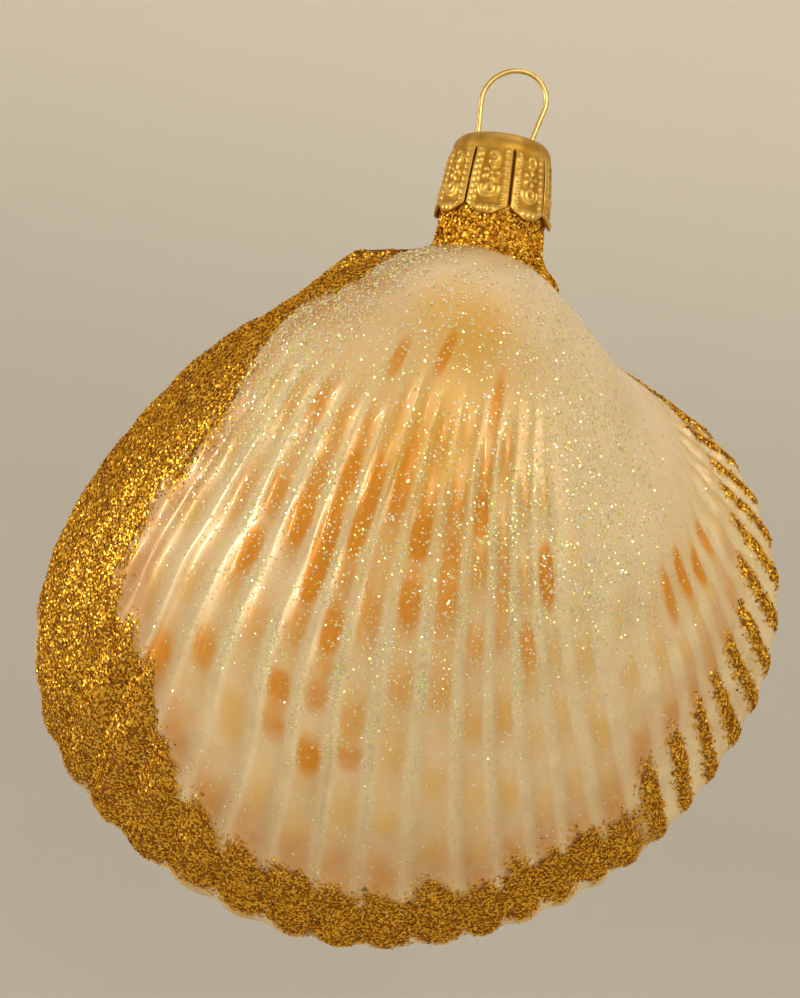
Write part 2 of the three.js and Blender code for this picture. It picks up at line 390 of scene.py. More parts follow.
def rib_strength(share, growth):
    """1 where the ribs stand at full height, 0 on the smooth umbo and at the ends of the rim."""
    fade_from = 0.33 + 0.27 * (1 - rise(share, 0.24, 0.36))
    ends = rise(share, 0.02, 0.09) * rise(1 - share, 0.0, 0.05)
    under_gold = 1 - 0.75 * rise(share, 0.66, 0.73)
    return rise(growth, fade_from, fade_from + 0.13) * ends * under_gold


# %% Ribs and the knuckles along each crest
def own_number(rib, low, high, seed):
    """A random number from low to high that each rib keeps all the way along."""
    return np.random.default_rng(seed).uniform(low, high, CHOICES)[rib.astype(int) % CHOICES]


def knuckle_of(rib, growth):
    """Swelling of a crest, -1 to 1, in beads of uneven length along each rib."""
    number = np.floor(rib)
    own = own_number(number, 0, 1, seed=11)
    beads = np.sin(2 * np.pi * (growth * (9 + 4 * own) + own * 7))
    return 0.6 * beads + 0.4 * wander(number * 3.7, growth * 22, seed=5)


RIB_HEIGHT = 0.165  # of the distance between two ribs
RIB_SUNK = 0.6  # of that height, which lies below the smooth valve
KNUCKLE_HEIGHT = 0.22  # mm
pitch = rim_length / RIBS * growth
strength = rib_strength(share, growth)
side_height = 0.62 + 0.38 * rise(share, 0.15, 0.40)
groove_depth = 1 + (own_number(np.round(rib), 0.75, 1.1, seed=19) - 1) * (1 - crest)
at_lip = 0.65 + 0.35 * rise(off_rim, 0, 6)
rib_height = RIB_HEIGHT * pitch * side_height * groove_depth * at_lip
height = rib_height * strength * (crest - RIB_SUNK)
knuckles = knuckle_of(rib, growth) * strength * crest
beaded = 1 + 0.7 * rise(share, 0.30, 0.38) * (1 - rise(growth, 0.55, 0.70))
height += KNUCKLE_HEIGHT * beaded * knuckles * rise(off_rim, 1, 4)

# %% [markdown]
# ### Growth steps, a dent and lumps
#
# Each winter a clam stops growing and leaves a shelf across its ribs, so three faint shelves
# run round the valve. Behind the umbo the mould has a shallow dent, and where the gold varnish
# was laid on thickly it dried in lumps. They are added to the same height as the ribs, as
# steps, a hill and wander, because a displacement texture would have to be placed by hand.

# %% Growth steps across the ribs, a dent behind the umbo, and lumps under the gold
SHELVES = ((0.90, 0.16), (0.78, 0.14), (0.66, 0.10))  # growth, height in mm
SHELF_WAVE = 0.012
SHELF_FRONT = 0.03
SHELF_BACK = 0.05
UNEVENNESS = 0.12  # mm
DENT_DEPTH = 1.1  # mm
LUMP_HEIGHT = 0.10  # mm
for shelf, step in SHELVES:
    edge = shelf + SHELF_WAVE * wander(share * 14, share * 0, seed=17)
    front = rise(growth, edge - SHELF_FRONT, edge)
    height += step * (front - rise(growth, edge, edge + SHELF_BACK))
uneven = wander(share * 16, growth * 10, seed=23) * rise(off_rim, 2, 8) * (growth > 0.2)
height += UNEVENNESS * uneven
height -= DENT_DEPTH * hill(share, 0.78, 0.08) * hill(growth, 0.31, 0.06)
lumps = wander(share * 110, growth * 50, seed=29) * rise(share, 0.66, 0.72) * rise(off_rim, 1, 4)

valve = smooth + normals * (height + LUMP_HEIGHT * lumps)[..., None]
valve_normals = surface_normals(valve)
print("ribs stand up to", round(float(np.ptp(height)), 2), "mm")

# %% [markdown]
# ## From one valve to the glass body
#
# Each valve is closed with a flat page in the seam plane, and the two are joined by a Boolean,
# because a blown body has no joint there, only a mould line. The neck is turned like a vase
# and joined on in the same way. Overlapping the pieces would look the same from outside, but
# one closed skin is what the glass is, and a clean mesh for whoever uses the part next.

# %% One valve as a closed solid, and its mirror image
def tidied(mesh, weld=1e-7):
    """Welds what meets, drops faces of no size and turns every face outwards."""
    work = bmesh.new()
    work.from_mesh(mesh)
    bmesh.ops.remove_doubles(work, verts=work.verts, dist=weld)
    bmesh.ops.dissolve_degenerate(work, edges=work.edges, dist=weld)
    bmesh.ops.recalc_face_normals(work, faces=work.faces)
    work.to_mesh(mesh)
    work.free()
    return mesh


def valve_solid(grid):
    """The valve, closed by the flat page of its first stage and that of its last."""
    rows, columns = grid.shape[:2]
    mesh = new_mesh("valve", grid.reshape(-1, 3), grid_faces(rows, columns))
    work = bmesh.new()
    work.from_mesh(mesh)
    work.verts.ensure_lookup_table()
    for first in (0, (rows - 1) * columns):
        work.faces.new([work.verts[first + i] for i in range(columns - 1)])
    work.to_mesh(mesh)
    work.free()
    return tidied(mesh)


valve[0, :, 1] = 0
front_valve = valve_solid(valve)
back_valve = valve_solid(valve * [1, -1, 1])

# %% [markdown]
# ### The neck
#
# The neck is what is left of the blowing pipe: a short tube that flares into the shell and has
# a rounded mouth under the cap. It could be a Screw modifier on a curve. Turning the outline
# with the grid that is there already is shorter, and gives the closed solid a Boolean needs.

# %% Turn the neck
NECK_OUTLINE = np.array([  # radius, z: the flare out of the shell, the mouth, then the inside
    [0.0, -27.5], [7.9, -25.6], [8.6, -24.4], [8.0, -23.3], [6.9, -22.2],
    [6.2, -20.8], [5.95, -18.8], [5.75, -16.0], [5.1, -8.9], [4.7, -8.65],
    [4.1, -8.7], [4.3, -16.0], [4.6, -24.0], [0.0, -25.0],
])
NECK_SIDES = 96


def turned(outline, sides):
    """A closed solid of revolution whose outline starts and ends on the axis."""
    points = spun(outline, np.linspace(0, 2 * np.pi, sides, endpoint=False))
    faces = grid_faces(len(outline), sides, closed=True)
    return tidied(new_mesh("turned", points.reshape(-1, 3), faces))


def joined(base, tool):
    """A new mesh, one closed skin, from two closed ones that overlap or touch."""
    objects = [bpy.data.objects.new("joining", mesh) for mesh in (base, tool)]
    for piece in objects:
        bpy.context.scene.collection.objects.link(piece)
    union = objects[0].modifiers.new("join", "BOOLEAN")
    union.operation = "UNION"
    union.solver = "MANIFOLD"
    union.object = objects[1]
    evaluated = objects[0].evaluated_get(bpy.context.evaluated_depsgraph_get())
    result = bpy.data.meshes.new_from_object(evaluated)
    for piece in objects:
        bpy.data.objects.remove(piece)
    return result


NECK_ROUNDED = 11  # points of the outline, from the root up over the mouth, that a curve joins
outside = through(NECK_OUTLINE[:NECK_ROUNDED], per_span=4)
neck_curve = np.vstack([outside, NECK_OUTLINE[NECK_ROUNDED:]])
neck_mesh = turned(neck_curve, NECK_SIDES)
body_mesh = joined(joined(front_valve, back_valve), neck_mesh)
print("glass body:", len(body_mesh.vertices), "points")


def open_edges(mesh):
    """How many edges of a mesh don't lie between exactly two faces."""
    uses = np.zeros(len(mesh.edges), int)
    edge_of_corner = np.empty(len(mesh.loops), np.int32)
    mesh.loops.foreach_get("edge_index", edge_of_corner)
    np.add.at(uses, edge_of_corner, 1)
    return int((uses != 2).sum())


print("open edges of the body:", open_edges(body_mesh))

# %% [markdown]
# ## Where each coat goes
#
# Paint on a real shell follows the ribs, so each coat is a number from 0 to 1 that is asked
# for by place: which rib, how far along its growth, how high on the crest. The touches of
# the brush are a short list, given one by one. The glitter further down asks the same
# functions, so that it lies exactly where its varnish was brushed.


# %% Gold varnish
GOLD_EDGE = np.array([  # share of the rim, growth at which the band along the rim ends
    [0.0, 0.78], [0.12, 0.83], [0.20, 0.86], [0.29, 0.865], [0.32, 0.90], [0.43, 0.90],
    [0.50, 0.90], [0.56, 0.885], [0.60, 0.84], [0.63, 0.785], [0.68, 0.765], [1.0, 0.75],
])
FLANK_EDGE = np.array([  # growth, share of the rim beyond which the flank is gold as well
    [0.0, 0.86], [0.20, 0.80], [0.28, 0.72], [0.34, 0.665], [0.40, 0.705],
    [0.46, 0.715], [0.55, 0.685], [0.60, 0.69], [0.66, 0.695], [1.0, 0.67],
])
BARE_LIP = np.array([  # share of the rim, mm beside the seam that the gold leaves bare
    [0.0, 0.2], [0.28, 0.6], [0.38, 2.3], [0.52, 2.2], [0.70, 1.4], [0.80, 0.2], [1.0, 0.0],
])
STROKE = 0.012  # how far one stroke of the brush ends before or after the next
SOFT_BAND = 0.018
SOFT_FLANK = 0.012


def read_off(table, value):
    return np.interp(value, table[:, 0], table[:, 1])


def gold_at(share, growth, rib, crest, off_rim):
    """1 where the gold varnish lies."""
    stroke = STROKE * wander(np.floor(rib) * 2.3, growth * 5, seed=31)
    ragged = 0.6 * (wander(rib * 2, growth * 30, seed=37) + wander(rib * 5, growth * 90, seed=38))
    edge = read_off(GOLD_EDGE, share) + stroke + 0.016 * ragged - 0.028 * (crest - 0.5)
    band = rise(growth, edge - SOFT_BAND, edge + SOFT_BAND)
    reach = read_off(FLANK_EDGE, growth) + stroke + 0.010 * ragged
    flank = rise(share, reach - SOFT_FLANK, reach + SOFT_FLANK)
    stripes = rise(crest + 0.12 * ragged, 0.42, 0.66)
    striped = plateau(share, 0.04, 0.09, 0.28, 0.33)  # near the notch only the crests are gold
    band = band * (1 - striped * (1 - stripes))
    bare = 1.1 - 0.5 * crest + 0.7 * wander(rib * 0.7, off_rim * 0, seed=41)
    bare = bare * read_off(BARE_LIP, share)
    return np.maximum(band, flank) * rise(off_rim, bare * 0.7, bare * 1.15 + 0.05)


# %% [markdown]
# ### Orange touches
#
# A painter sets down a loaded brush on a crest and lifts it off, which leaves a drop along the
# rib, and a thin wash where the brush was dragged on. A texture of blobs would cross the
# grooves. Measured in ribs across and growth along, a drop is a circle, and always on a crest.

# %% Orange paint on the crests
TOUCH_WIDTH = 0.52  # of the distance between two ribs
TOUCH_STRETCH = 1.45  # how far a touch fades out, in its own half lengths
TOUCHES = (  # rib, growth, half its length in growth, strength
    (23.5, 0.555, 0.045, 1.0), (24.5, 0.540, 0.020, 0.95), (25.5, 0.598, 0.024, 0.6),
    (15.5, 0.555, 0.030, 0.85), (16.5, 0.622, 0.026, 0.45), (18.5, 0.488, 0.022, 0.65),
    (23.5, 0.690, 0.018, 0.5), (23.5, 0.728, 0.016, 0.4), (22.5, 0.742, 0.018, 0.55),
    (22.5, 0.680, 0.018, 0.4), (22.5, 0.615, 0.026, 0.55), (21.5, 0.730, 0.016, 0.4),
    (21.5, 0.690, 0.020, 0.3), (20.5, 0.512, 0.024, 0.7), (20.5, 0.570, 0.030, 0.5),
    (22.5, 0.505, 0.045, 0.75), (23.5, 0.485, 0.024, 0.6), (24.5, 0.500, 0.022, 0.45),
    (23.5, 0.375, 0.020, 0.45), (21.5, 0.352, 0.020, 0.6), (18.5, 0.385, 0.030, 0.5),
    (26.5, 0.750, 0.022, 0.45), (25.5, 0.705, 0.022, 0.4), (21.5, 0.470, 0.040, 0.55),
    (8.5, 0.722, 0.030, 0.5), (9.5, 0.725, 0.030, 0.65), (10.5, 0.690, 0.036, 0.7),
    (11.5, 0.690, 0.040, 0.5), (19.5, 0.540, 0.040, 0.45), (17.5, 0.560, 0.030, 0.35),
)


def orange_at(share, growth, rib, crest):
    """1 where a touch of orange is thickest. Touches are drops with soft ends."""
    on_crest = rise(crest, 0.25, 0.75)
    amount = np.zeros_like(growth)
    for number, middle, length, strength in TOUCHES:
        across = (rib - number) / TOUCH_WIDTH
        along = (growth - middle) / (TOUCH_STRETCH * length)
        spot = 1 - rise(np.hypot(across, along), 0.35, 1.15)
        amount = np.maximum(amount, strength * spot)
    amount = 1.4 * amount * (0.3 + 0.7 * on_crest)
    wash = plateau(share, 0.33, 0.40, 0.60, 0.68) * plateau(growth, 0.36, 0.44, 0.54, 0.84)
    wash = 0.66 * wash * on_crest * (0.62 + 0.38 * knuckle_of(rib, growth))
    return np.clip(np.maximum(amount, wash), 0, 1)


# %% [markdown]
# ### Soft washes
#
# Thin sprayed colour has no edge: a warm glow over the umbo and a little at the side of the
# notch, and peach towards the ear and along the gold. Each is a hill or a step, so that it
# fades out evenly, with a little wander in its strength.

# %% Soft washes: warm umbo, peach at the ear and beside the gold
def glow_at(share, growth):
    """The yellow-orange wash of the umbo and of the side of the notch."""
    uneven = 1 + 0.35 * wander(share * 22, growth * 16, seed=43)
    umbo = 0.75 * hill(share, 0.49, 0.09) * hill(growth, 0.31, 0.04)
    middle = hill(share, 0.45, 0.11) * hill(growth, 0.43, 0.12)
    notch_side = 0.4 * hill(share, 0.21, 0.045) * hill(growth, 0.70, 0.05)
    return np.clip((umbo + middle) * uneven + notch_side, 0, 1)


def peach_at(share, growth, crest):
    """Peach tint: towards the ear, and where the gold varnish thins out on the crests."""
    ear_side = rise(share, 0.55, 0.66) * (1 - rise(growth, 0.34, 0.46))
    below_band = hill(growth, read_off(GOLD_EDGE, share) - 0.028, 0.040)
    beside_flank = hill(share, read_off(FLANK_EDGE, growth) - 0.012, 0.020)
    edge = np.maximum(below_band * (0.35 + 0.65 * crest), beside_flank * (growth > 0.3))
    return np.clip(ear_side + 0.85 * edge * rise(share, 0.1, 0.2), 0, 1)


# %% [markdown]
# ### From the grid to the body
#
# The coats are known on the grid of the valve, but the Boolean gave the body points of its
# own. A tree of nearest points carries each number across. The back valve asks the same grid
# in the mirror, so both sides carry the same paint, and the neck is gold all round.

# %% Carry the coats over to the body
def nearest_valve_points(mesh):
    """For each point of a mesh, the index of the closest point of the valve grid."""
    count = len(mesh.vertices)
    place = np.empty(count * 3, np.float32)
    mesh.vertices.foreach_get("co", place)
    place = place.reshape(-1, 3).astype(float) / MM
    place[:, 1] = -np.abs(place[:, 1])
    flat = valve.reshape(-1, 3)
    tree = KDTree(len(flat))
    for index, point in enumerate(flat):
        tree.insert(point, index)
    tree.balance()
    found = [tree.find(point) for point in place]
    index = np.array([hit[1] for hit in found])
    distance = np.array([hit[2] for hit in found])
    return index, distance, place


OFF_VALVE = 0.05  # mm from the valve, beyond which a point belongs to the neck
NECK_REACH = 9.5  # mm from the Z axis
NECK_FOOT_Z = -28
index, distance, place = nearest_valve_points(body_mesh)
near_neck = (place[:, 2] > NECK_FOOT_Z) & (np.hypot(place[:, 0], place[:, 1]) < NECK_REACH)
on_neck = near_neck & (distance > OFF_VALVE)
coat = {
    "crest": crest * strength,
    "groove": (1 - crest) * strength,
    "gold": gold_at(share, growth, rib, crest, off_rim),
    "orange": orange_at(share, growth, rib, crest),
    "glow": glow_at(share, growth),
    "peach": peach_at(share, growth, crest),
    "growth": growth,
    "knuckle": knuckles,
}
stored = {name: values.ravel()[index] for name, values in coat.items()}
for name in ("crest", "groove", "orange", "glow", "peach", "knuckle"):
    stored[name][on_neck] = 0
stored["gold"][on_neck] = 1
store(body_mesh, **stored)
body_mesh.shade_smooth()
print("points on the neck:", int(on_neck.sum()))
print("gold lies on", round(100 * float(coat["gold"].mean())), "per cent of the grid's points")

# %% [markdown]
# ## Material maths in plain Python
#
# A material is a graph of nodes. Wiring sums by hand hides them, so a socket is wrapped in a
# small class that knows + - and *. What it can't do, such as a noise texture, comes from one
# method that takes the node's type, its settings and the values of its sockets.


# %% Sockets that can be added up
class Socket:
    """An output of a node, which can be used in sums."""

    def __init__(self, finish, output):
        self.finish = finish
        self.output = output

    def worked_out(self, operation, *values):
        return self.finish.node("ShaderNodeMath", {"operation": operation}, dict(enumerate(values)))

    def __add__(self, other):
        return self.worked_out("ADD", self, other)

    def __sub__(self, other):
        return self.worked_out("SUBTRACT", self, other)

    def __rsub__(self, other):
        return self.worked_out("SUBTRACT", other, self)

    def __mul__(self, other):
        return self.worked_out("MULTIPLY", self, other)

    __radd__ = __add__
    __rmul__ = __mul__

    def between(self, low, high):
        """0 at low, 1 at high, smooth between, never outside."""
        settings = {"interpolation_type": "SMOOTHSTEP"}
        return self.finish.node("ShaderNodeMapRange", settings, {0: self, 1: low, 2: high})


class Finish:
    """A material with one Principled shader, whose even values are given by name."""

    def __init__(self, name, **even):
        self.material = bpy.data.materials.new(name)
        self.material.use_nodes = True
        self.tree = self.material.node_tree
        self.shader = self.tree.nodes["Principled BSDF"]
        for socket, value in even.items():
            self.shader.inputs[socket.replace("_", " ")].default_value = value

    def node(self, kind, settings, sockets, out=0):
        """A node of any kind: its settings first, then the values or links of its sockets."""
        made = self.tree.nodes.new(kind)
        for name, value in settings.items():
            setattr(made, name, value)
        for name, value in sockets.items():
            if isinstance(value, Socket):
                self.tree.links.new(value.output, made.inputs[name])
            else:
                made.inputs[name].default_value = value
        return Socket(self, made.outputs[out])

    def stored(self, name):
        """A number that the mesh keeps on its points."""
        return self.node("ShaderNodeAttribute", {"attribute_name": name}, {}, "Fac")

    def place(self):
        """Where a point is on the piece, in metres."""
        return self.node("ShaderNodeTexCoord", {}, {}, "Object")

    def noise(self, size, detail=2.0):
        """Noise whose blobs are about size millimetres wide."""
        sockets = {"Vector": self.place(), "Scale": 1 / (size * MM), "Detail": detail}
        return self.node("ShaderNodeTexNoise", {}, sockets)

    def mix(self, amount, first, second):
        """The first colour where amount is 0, the second where it is 1."""
        settings = {"data_type": "RGBA"}
        return self.node("ShaderNodeMix", settings, {0: amount, 6: first, 7: second}, 2)

    def bump(self, strength, depth, height):
        """A normal bent by a height, whose full step is depth millimetres."""
        sockets = {"Strength": strength, "Distance": depth * MM, "Height": height}
        return self.node("ShaderNodeBump", {}, sockets)

    def drive(self, **links):
        """Links what changes over the surface to the shader."""
        for socket, value in links.items():
            self.tree.links.new(value.output, self.shader.inputs[socket.replace("_", " ")])
        return self.material


def chip(red, green, blue):
    """A colour as it is read off a paint chip, 0 to 255, as the linear colour nodes use."""
    value = np.array([red, green, blue]) / 255
    linear = np.where(value < 0.04045, value / 12.92, ((value + 0.055) / 1.055) ** 2.4)
    return (*linear.tolist(), 1.0)


# %% [markdown]
# ## Pearl lacquer over silvered glass
#
# Pearl lacquer is clear varnish full of mica flakes over a mirror, so it is part metal, part
# paint: a soft sheen from the flakes and a sharp reflection from the varnish on top. A coat
# over a base that is partly metal gives just that. Colours are laid one over another: pearl,
# a whiter pearl in the grooves, tan on the crests, the yellow glow, peach beside the gold, the
# orange touches, then the brown varnish that holds the gold glitter.

# %% The lacquered body
PEARL_CREAM = chip(236, 210, 164)
PEARL_LIGHT = chip(246, 220, 178)
PEARL_LOW = chip(220, 184, 122)  # towards the rim
PEARL_WHITE = chip(250, 230, 182)
CREST_TAN = chip(234, 188, 98)
UMBO_YELLOW = chip(230, 176, 70)
PEACH = chip(210, 142, 72)
ORANGE = chip(226, 146, 24)
GOLD_VARNISH = chip(150, 92, 14)

lacquer = Finish("pearl_lacquer", IOR=1.4, Coat_Roughness=0.10, Coat_IOR=1.5)
crest_mask = lacquer.stored("crest")
groove_mask = lacquer.stored("groove")
gold_mask = lacquer.stored("gold").between(0.35, 0.9)
knuckle_mask = lacquer.stored("knuckle").between(-0.5, 0.8)
low_on_valve = lacquer.stored("growth").between(0.55, 0.95)
cloud = lacquer.noise(9.0).between(0.35, 0.65)
patches = lacquer.noise(3.5, detail=3.0).between(0.35, 0.60)
streak = lacquer.noise(1.6, detail=3.0).between(0.2, 0.7)
pearl = lacquer.mix(cloud, PEARL_CREAM, PEARL_LIGHT)
pearl = lacquer.mix(low_on_valve * 0.45, pearl, PEARL_LOW)
whitish = groove_mask.between(0.3, 0.8) * (patches * 0.6 + 0.15)
pearl = lacquer.mix(whitish, pearl, PEARL_WHITE)
tan = crest_mask.between(0.3, 0.9) * (knuckle_mask * 0.5 + patches * 0.25 + 0.05)
pearl = lacquer.mix(tan, pearl, CREST_TAN)
pearl = lacquer.mix(lacquer.stored("glow") * (cloud * 0.2 + 0.75), pearl, UMBO_YELLOW)
pearl = lacquer.mix(lacquer.stored("peach") * (patches * 0.3 + 0.55), pearl, PEACH)
orange_mask = lacquer.stored("orange") * (streak * 0.25 + 0.8)
pearl = lacquer.mix(orange_mask.between(0.04, 0.8), pearl, ORANGE)
lacquer_colour = lacquer.mix(gold_mask, pearl, GOLD_VARNISH)
lacquer_peel = lacquer.bump(strength=0.06, depth=0.2, height=lacquer.noise(0.9))
glass_finish = lacquer.drive(
    Base_Color=lacquer_colour, Roughness=0.42 + gold_mask * 0.2, Metallic=0.25 + groove_mask * 0.15,
    Coat_Weight=0.4 - gold_mask * 0.4, Normal=lacquer_peel,
)
show("glass_shell_body", body_mesh, glass_finish, "shell_glass", "glass_shell")
print("the lacquer has", len(lacquer.tree.nodes), "nodes")

# %% [markdown]
# ## Glitter
#
# Glitter is cut from metallised film into tiny hexagons. No texture sparkles like it, because
# each flake is a small mirror at its own tilt, bright or black as it happens to face the
# lamp. So the flakes are real: hexagons scattered over the surface wherever a coat asks for
# them, all in one mesh for each side.

# %% Scatter flakes over a grid of points
HEXAGON = np.linspace(0, 2 * np.pi, 6, endpoint=False)
SEAM_MARGIN = 0.02  # mm from the seam plane that stays free of flakes
LAYOUT_RADIUS = 0.36  # of a hexagon in its own square of the layout


def centres_on(grid, normal, cover, count):
    """count random spots on a grid of points, more where cover is high."""
    a, b, c, d = grid[:-1, :-1], grid[:-1, 1:], grid[1:, 1:], grid[1:, :-1]
    area = np.linalg.norm(np.cross(c - a, d - b), axis=-1) / 2
    wanted = (cover[:-1, :-1] + cover[1:, 1:]) / 2
    middle = (a + c) / 2
    weight = (area * wanted * (middle[..., 1] < -SEAM_MARGIN)).ravel()
    cell = chance.choice(len(weight), count, p=weight / weight.sum())
    row, column = np.unravel_index(cell, area.shape)
    across, down = chance.random((2, count, 1))

    def blend(values):
        top = values[row, column] * (1 - across) + values[row, column + 1] * across
        low = values[row + 1, column] * (1 - across) + values[row + 1, column + 1] * across
        return top * (1 - down) + low * down

    return blend(grid), blend(normal)


def flakes(name, centre, normal, size, tilt, lift, material, slot):
    """Hexagonal flakes on given spots, each with its own size, tilt, tone and hue."""
    count = len(centre)
    facing = unit(normal + tilt * chance.normal(size=(count, 3)))
    side = unit(np.cross(facing, chance.normal(size=(count, 3))))
    other = np.cross(facing, side)
    radius = chance.uniform(*size, (count, 1, 1)) / 2
    centre = centre + normal * chance.uniform(*lift, (count, 1))
    corners = centre[:, None] + radius * (
        side[:, None] * np.cos(HEXAGON)[None, :, None]
        + other[:, None] * np.sin(HEXAGON)[None, :, None]
    )
    faces = np.arange(corners.size // 3).reshape(count, -1)
    mesh = new_mesh(name, corners.reshape(-1, 3), faces)
    tone = np.repeat(chance.random(count), len(HEXAGON))
    hue = np.repeat(chance.random(count), len(HEXAGON))
    store(mesh, tone=tone, hue=hue)
    cells = math.ceil(math.sqrt(count))
    cell = np.stack([np.arange(count) % cells, np.arange(count) // cells], 1)[:, None]
    ring = 0.5 + LAYOUT_RADIUS * np.stack([np.cos(HEXAGON), np.sin(HEXAGON)], -1)[None]
    layout = mesh.uv_layers.new(name="OFBake")
    layout.data.foreach_set("uv", ((cell + ring) / cells).astype(np.float32).ravel())
    return show(name, mesh, material, slot)


# %% [markdown]
# The gold flakes are film in several ages of tarnish, from old brass to pale gold. The pearl
# flakes are clear film that splits light: mostly white, with a tinge of yellow green, mint or
# pink. Each flake keeps one number for its tone and one for its hue, and the two materials
# read them, so that no two neighbours match.

# %% Glitter materials
OLD_BRASS = chip(150, 90, 12)
GOLD_LEAF = chip(255, 196, 62)
PALE_GOLD = chip(255, 224, 126)
FILM_WHITE = chip(255, 250, 222)
FILM_YELLOW_GREEN = chip(248, 246, 150)
FILM_MINT = chip(222, 250, 206)
FILM_PINK = chip(255, 206, 214)
FILM_SHADE = chip(226, 208, 160)
GOLD_GRAZING = (1.0, 0.72, 0.30, 1.0)  # tint of the metal where it is seen edge on

gold_film = Finish(
    "gold_glitter_film", Metallic=1.0, Roughness=0.40, Specular_Tint=GOLD_GRAZING
)
gold_tone = gold_film.stored("tone")
gold_colour = gold_film.mix(gold_tone.between(0.0, 0.30), OLD_BRASS, GOLD_LEAF)
gold_colour = gold_film.mix(gold_tone.between(0.85, 1.0), gold_colour, PALE_GOLD)
gold_material = gold_film.drive(Base_Color=gold_colour)

pearl_film = Finish("pearl_glitter_film", Metallic=0.45, Roughness=0.22)
hue = pearl_film.stored("hue")
pearl_colour = pearl_film.mix(hue.between(0.35, 0.50), FILM_WHITE, FILM_YELLOW_GREEN)
pearl_colour = pearl_film.mix(hue.between(0.90, 0.93), pearl_colour, FILM_MINT)
pearl_colour = pearl_film.mix(hue.between(0.95, 0.97), pearl_colour, FILM_PINK)
pearl_dark = pearl_film.stored("tone").between(0.0, 0.12)
pearl_colour = pearl_film.mix(pearl_dark, FILM_SHADE, pearl_colour)
pearl_material = pearl_film.drive(Base_Color=pearl_colour)

# %% Gold glitter on the band and the flank
GOLD_PER_SIDE = 44000
BACKWARDS = np.array([1, -1, 1])
gold_cover = rise(coat["gold"], 0.05, 0.95)
for side_name, mirror in (("front", 1), ("back", BACKWARDS)):
    spots, facing = centres_on(valve, valve_normals, gold_cover, GOLD_PER_SIDE)
    flakes(
        "gold_glitter_" + side_name, spots * mirror, facing * mirror,
        size=(0.20, 0.36), tilt=0.19, lift=(0.02, 0.12),
        material=gold_material, slot="gold_glitter",
    )

# %% [markdown]
# ### Pearl glitter
#
# Loose flakes gather where the sticky lacquer is deepest: in the grooves of the middle ribs, in
# clumps, then thinly over the umbo and the smooth side by the ear. Each place is a number from
# 0 to 1, and their sum, less where gold lies, is the chance of a flake.

# %% Pearl glitter in the grooves and over the umbo
PEARL_PER_SIDE = 17000
in_grooves = (0.10 + 0.90 * rise(1 - crest, 0.40, 0.80)) * strength
in_grooves = in_grooves * rise(share, 0.32, 0.38) * (1 - 0.75 * rise(share, 0.56, 0.64))
in_grooves = in_grooves * rise(growth, 0.38, 0.46) * (1 - 0.93 * rise(growth, 0.64, 0.80))
over_umbo = 0.16 * plateau(growth, 0.20, 0.30, 0.55, 0.75) * rise(share, 0.1, 0.3)
over_ear_side = 0.7 * rise(share, 0.56, 0.66) * (1 - rise(growth, 0.42, 0.60)) * (growth > 0.15)
over_notch_side = 0.5 * hill(share, 0.28, 0.07) * hill(growth, 0.50, 0.16)
everywhere = 0.02 * (growth > 0.12)
thick = wander(share * 60, growth * 26, seed=51) + 0.7 * wander(share * 9, growth * 7, seed=52)
clumps = rise(thick, -0.7, 0.9)
pearl_cover = in_grooves * clumps + over_umbo + over_ear_side + over_notch_side + everywhere
pearl_cover = pearl_cover * (1 - gold_cover)
for side_name, mirror in (("front", 1), ("back", BACKWARDS)):
    spots, facing = centres_on(valve, valve_normals, pearl_cover, PEARL_PER_SIDE)
    flakes(
        "pearl_glitter_" + side_name, spots * mirror, facing * mirror,
        size=(0.12, 0.30), tilt=0.24, lift=(0.02, 0.08),
        material=pearl_material, slot="pearl_glitter",
    )

# %% [markdown]
# ### Glitter round the neck
#
# The neck was dipped, so its glitter is coarser, thicker and stands up more than on the shell.
# It is scattered over a grid of its own, half of it on each side of the seam.

# %% Gold glitter round the neck
NECK_FLAKES = 14000
NECK_GLITTERED = slice(2, 8)  # the points of the neck's outline between shell and cap
NECK_GRID_SIDES = 120
glittered = through(NECK_OUTLINE[NECK_GLITTERED], per_span=8)
neck_grid = spun(glittered, np.linspace(0, 2 * np.pi, NECK_GRID_SIDES + 1))
neck_normals = surface_normals(neck_grid)
outward = np.sign((neck_normals[..., :2] * neck_grid[..., :2]).sum(-1, keepdims=True))
neck_normals = neck_normals * outward
evenly_covered = np.ones(neck_grid.shape[:2])
sides = []
for mirror in (1, BACKWARDS):
    spots, facing = centres_on(neck_grid, neck_normals, evenly_covered, NECK_FLAKES // 2)
    sides.append((spots * mirror, facing * mirror))
spots, facing = (np.vstack(both) for both in zip(*sides))
flakes(
    "gold_glitter_neck", spots, facing, size=(0.24, 0.42), tilt=0.42, lift=(0.02, 0.2),
    material=gold_material, slot="gold_glitter",
)

# %% [markdown]
# ## The stamped cap
#
# The cap is one piece of thin gold-toned sheet: a rounded top and eight petals that spring
# over the neck, stamped with a rope border and a little relief. A bump map would vanish at
# the outline and in other programs, so the stamping is real: the petals are a fine grid of
# points, pushed out by a height that is written like the drawing on the die.

# %% Outline of the cap
CAP_TOP_Z = -7.9
SLOT_TOP_Z = -9.8
SKIRT_Z = -16.5
TIP_Z = -17.6
TOP_RADIUS = 5.7
SKIRT_RADIUS = 6.65
SHOULDER = 1.9  # mm, its rounding
SLOT_WIDTH = 0.34
PETAL_OFFSET = math.radians(-10)  # the front petal stands a little towards -X
PETALS = 8
PETAL_STEPS = 36
SHEET = 0.3  # mm, thickness
ROW = 0.125  # mm between rows of points on the skirt
FLAT_ROWS = 6
SHOULDER_ROWS = 9
FAIRING = 1.5  # mm below the shoulder, over which the skirt's slope sets in


def cap_radius(z):
    """Radius of the straight cone that the skirt follows."""
    return np.interp(-z, [-CAP_TOP_Z, -TIP_Z], [TOP_RADIUS, SKIRT_RADIUS])


